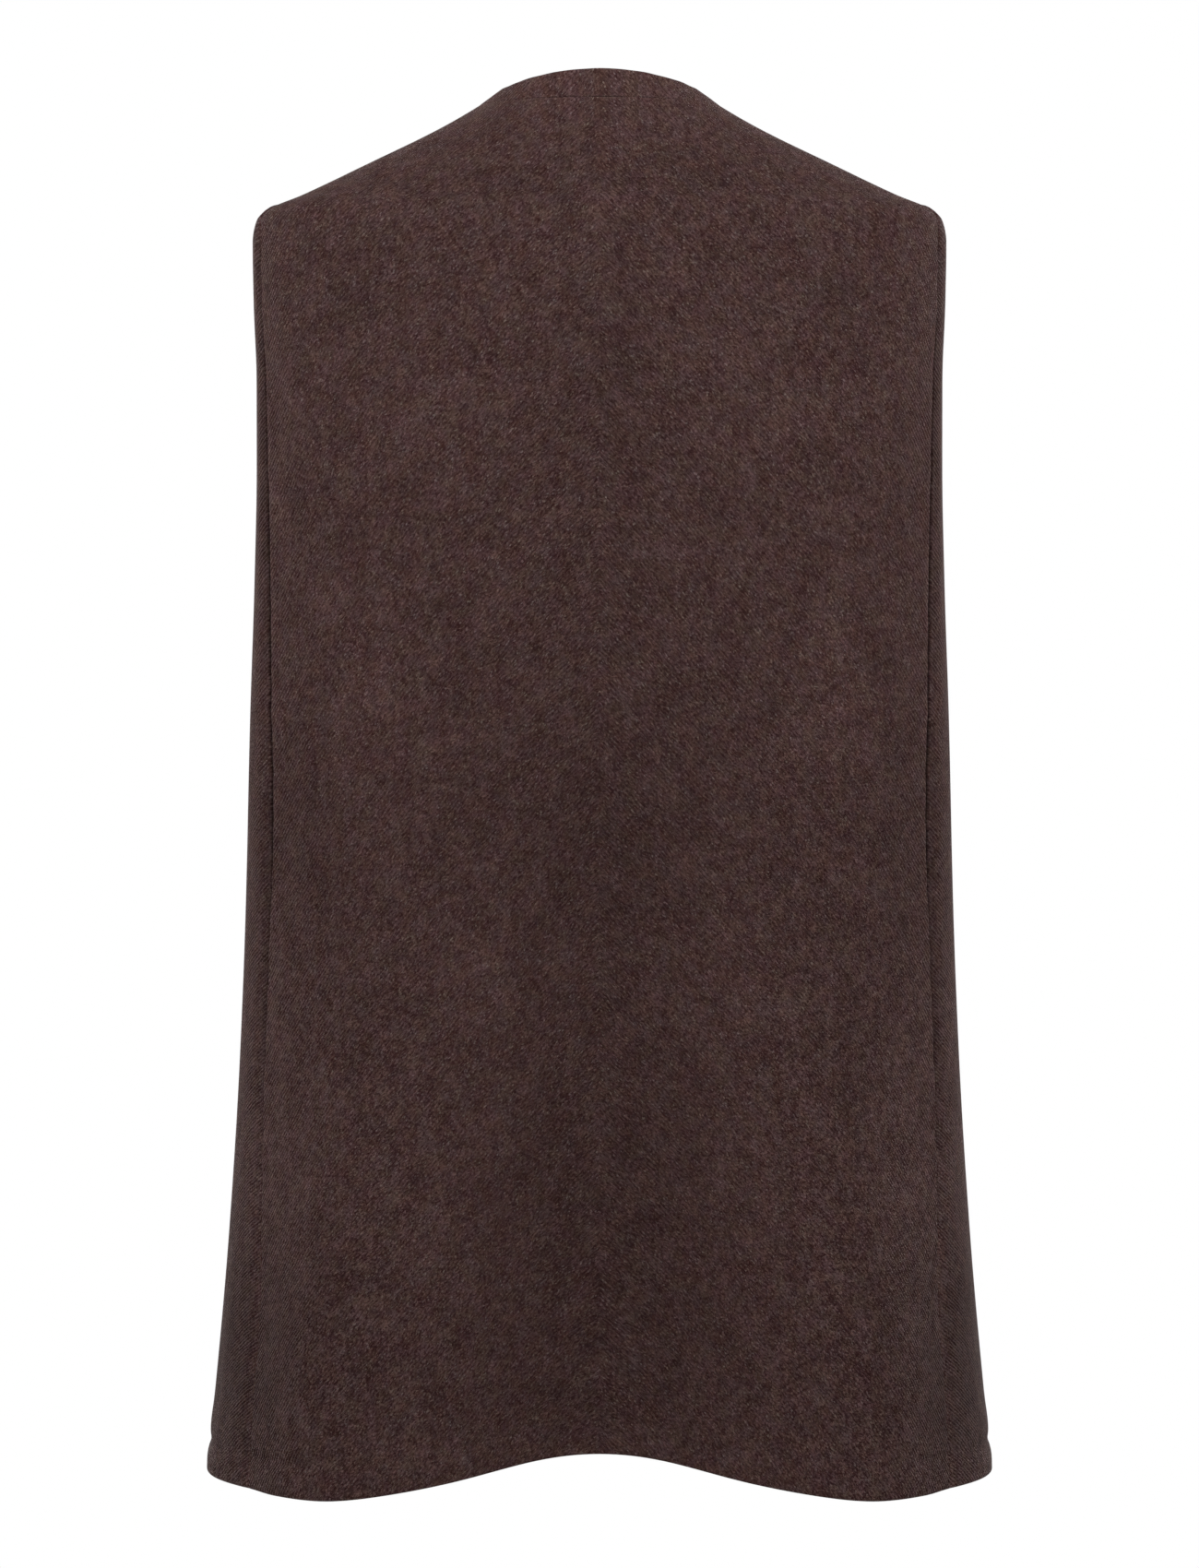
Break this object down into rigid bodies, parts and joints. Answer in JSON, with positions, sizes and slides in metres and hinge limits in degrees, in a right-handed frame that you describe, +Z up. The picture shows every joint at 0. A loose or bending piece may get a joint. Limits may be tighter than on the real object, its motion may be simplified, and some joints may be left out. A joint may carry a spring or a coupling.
{
  "type": "wool cape",
  "caption": "Sleeveless wool cape in the shape it takes when worn, with a round neck band, lapped fronts, arm slits in the long side seams and a fluted hem.",
  "frame": {"origin": "on the middle plane, level with the place where the side of the neck band meets the wearer's neck", "axes": "+Z up along the wearer, +Y out of the wearer's front, +X to the wearer's right"},
  "size_m": [0.4536, 0.2822, 0.8013],
  "materials": {
    "brown_wool": "napped twill, dark brown with lighter, reddish and olive fibres"
  },
  "bodies": {
    "root": {"back": "brown_wool", "front_right": "brown_wool", "front_left": "brown_wool", "neck_band": "brown_wool"}
  },
  "joints": []
}
